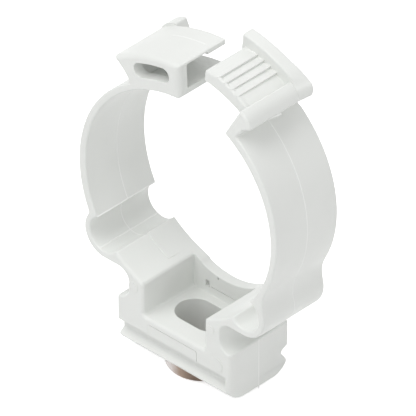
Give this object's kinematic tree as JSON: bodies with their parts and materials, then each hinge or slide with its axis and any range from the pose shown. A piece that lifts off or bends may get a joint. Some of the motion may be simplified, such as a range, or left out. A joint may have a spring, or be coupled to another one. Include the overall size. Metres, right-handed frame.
{
  "type": "pipe clip",
  "caption": "Clip that holds a plastic pipe in a ring of two spring arms, with a box catch and ratchet tongue on top and a threaded steel insert in its base.",
  "frame": {"origin": "centre of the threaded hole at the end face of the flanged nut, which is the lowest face", "axes": "+X across the pipe, towards the ratchet tongue; +Y along the pipe, towards the back wall of the base; +Z away from the wall, through the pipe"},
  "size_m": [0.0663, 0.021, 0.097],
  "materials": {
    "grey_plastic": "moulded, satin",
    "plated_steel": "turned, zinc plated"
  },
  "bodies": {
    "root": {"clip_body": "grey_plastic", "threaded_insert": "plated_steel"}
  },
  "joints": []
}
